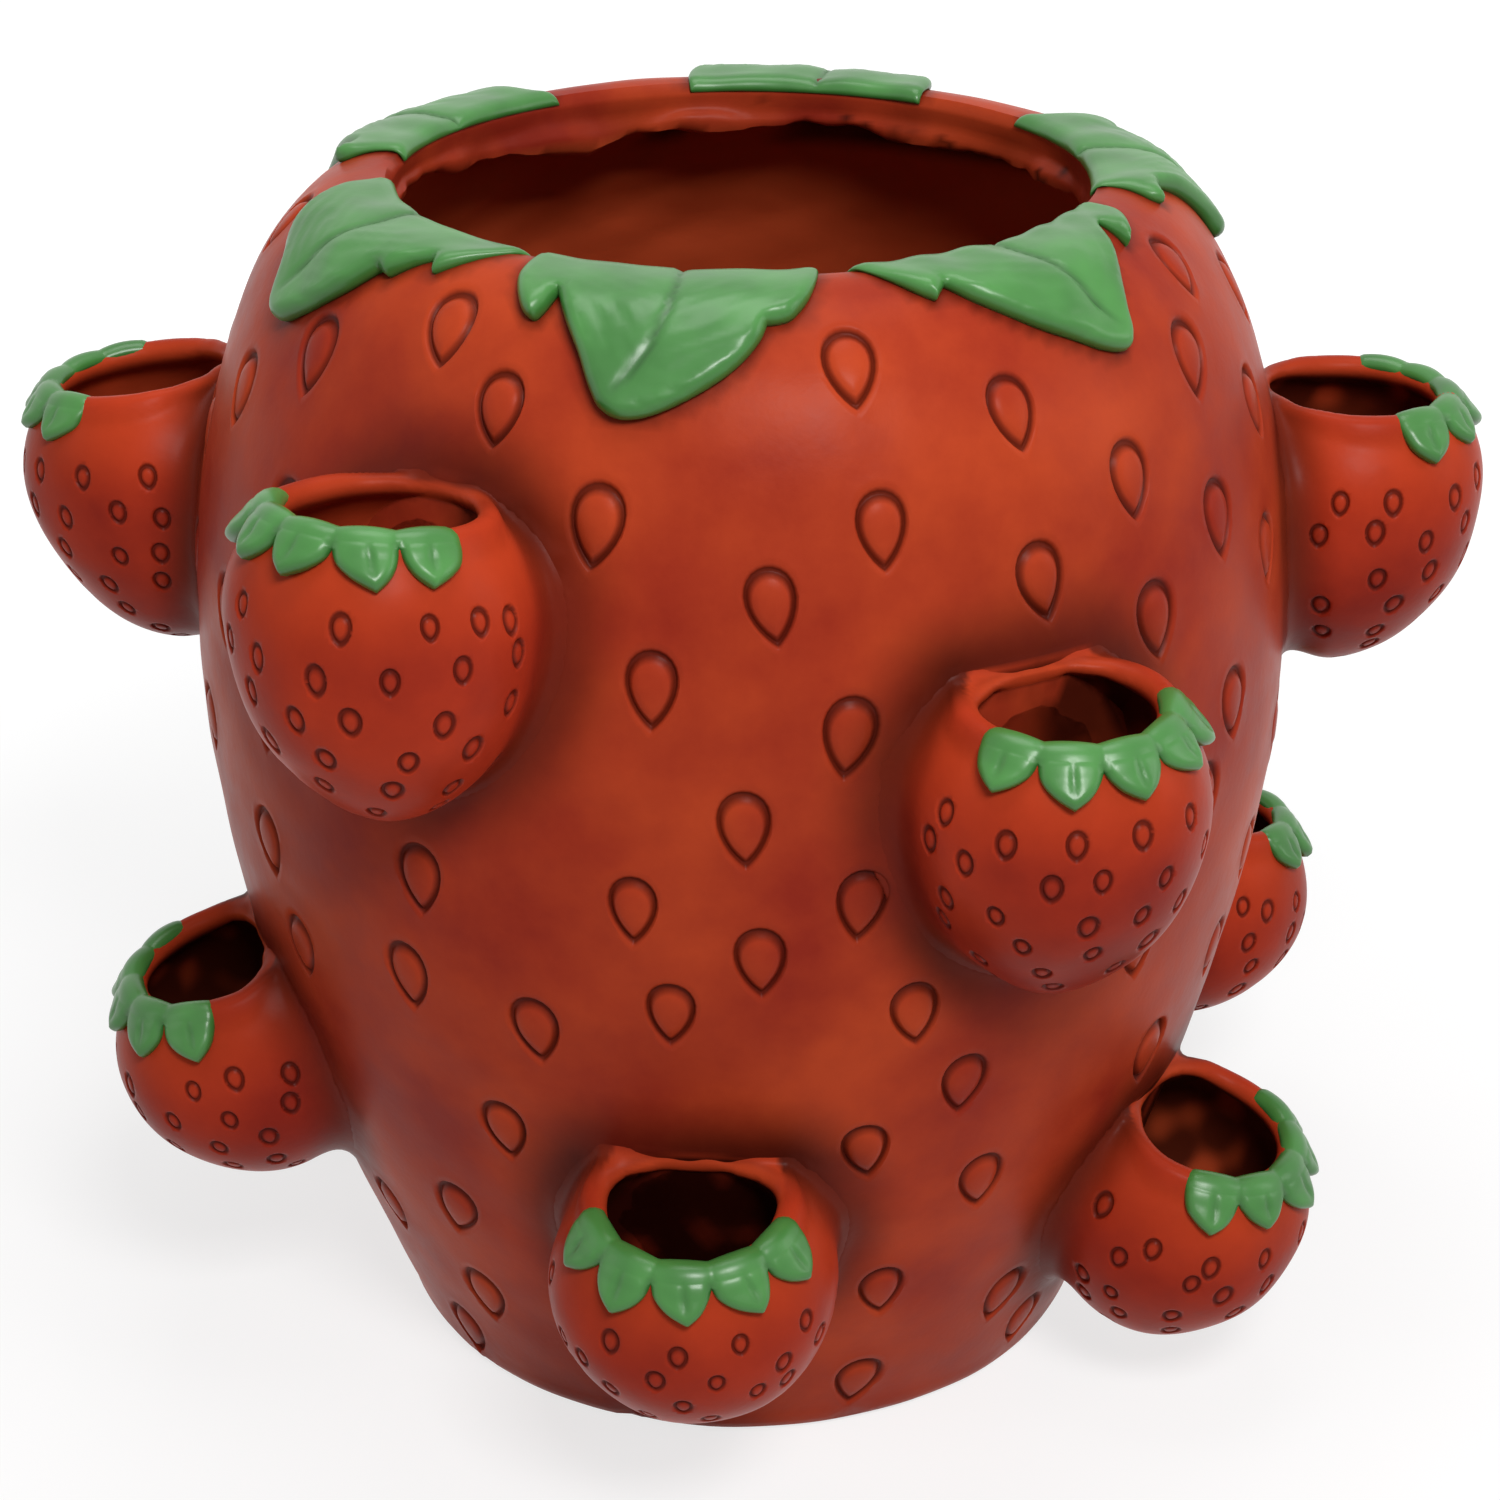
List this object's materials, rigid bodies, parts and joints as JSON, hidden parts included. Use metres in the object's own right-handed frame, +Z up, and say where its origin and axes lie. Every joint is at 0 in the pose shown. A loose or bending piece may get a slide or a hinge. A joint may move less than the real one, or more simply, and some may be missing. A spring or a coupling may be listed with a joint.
{
  "type": "planter",
  "caption": "Strawberry-shaped floor planter: hollow round pot with small strawberry pockets on its side, green crown leaves at the mouth and leafy collars on the pockets.",
  "frame": {"origin": "centre of the flat foot, on the ground", "axes": "+Z up through the mouth, -Y towards the viewer of the picture's front, +X to that viewer's right"},
  "size_m": [0.4085, 0.3648, 0.3352],
  "materials": {
    "painted_resin_red": "hand-painted cast resin, satin, with dark wash in the grooves",
    "painted_resin_pocket_red": "hand-painted cast resin, satin",
    "painted_resin_green": "hand-painted cast resin, semi-gloss"
  },
  "bodies": {
    "root": {"pot_body": "painted_resin_red", "upper_pocket_left": "painted_resin_pocket_red", "upper_pocket_front_left": "painted_resin_pocket_red", "upper_pocket_front_right": "painted_resin_pocket_red", "upper_pocket_right": "painted_resin_pocket_red", "upper_pocket_back_right": "painted_resin_pocket_red", "upper_pocket_back_left": "painted_resin_pocket_red", "lower_pocket_left": "painted_resin_pocket_red", "lower_pocket_front": "painted_resin_pocket_red", "lower_pocket_front_right": "painted_resin_pocket_red", "lower_pocket_right": "painted_resin_pocket_red", "lower_pocket_back": "painted_resin_pocket_red", "lower_pocket_back_left": "painted_resin_pocket_red", "collar_upper_pocket_left": "painted_resin_green", "collar_upper_pocket_front_left": "painted_resin_green", "collar_upper_pocket_front_right": "painted_resin_green", "collar_upper_pocket_right": "painted_resin_green", "collar_upper_pocket_back_right": "painted_resin_green", "collar_upper_pocket_back_left": "painted_resin_green", "collar_lower_pocket_left": "painted_resin_green", "collar_lower_pocket_front": "painted_resin_green", "collar_lower_pocket_front_right": "painted_resin_green", "collar_lower_pocket_right": "painted_resin_green", "collar_lower_pocket_back": "painted_resin_green", "collar_lower_pocket_back_left": "painted_resin_green", "crown_leaf_front": "painted_resin_green", "crown_leaf_front_right": "painted_resin_green", "crown_leaf_right": "painted_resin_green", "crown_leaf_back": "painted_resin_green", "crown_leaf_back_left": "painted_resin_green", "crown_leaf_left": "painted_resin_green"}
  },
  "joints": []
}
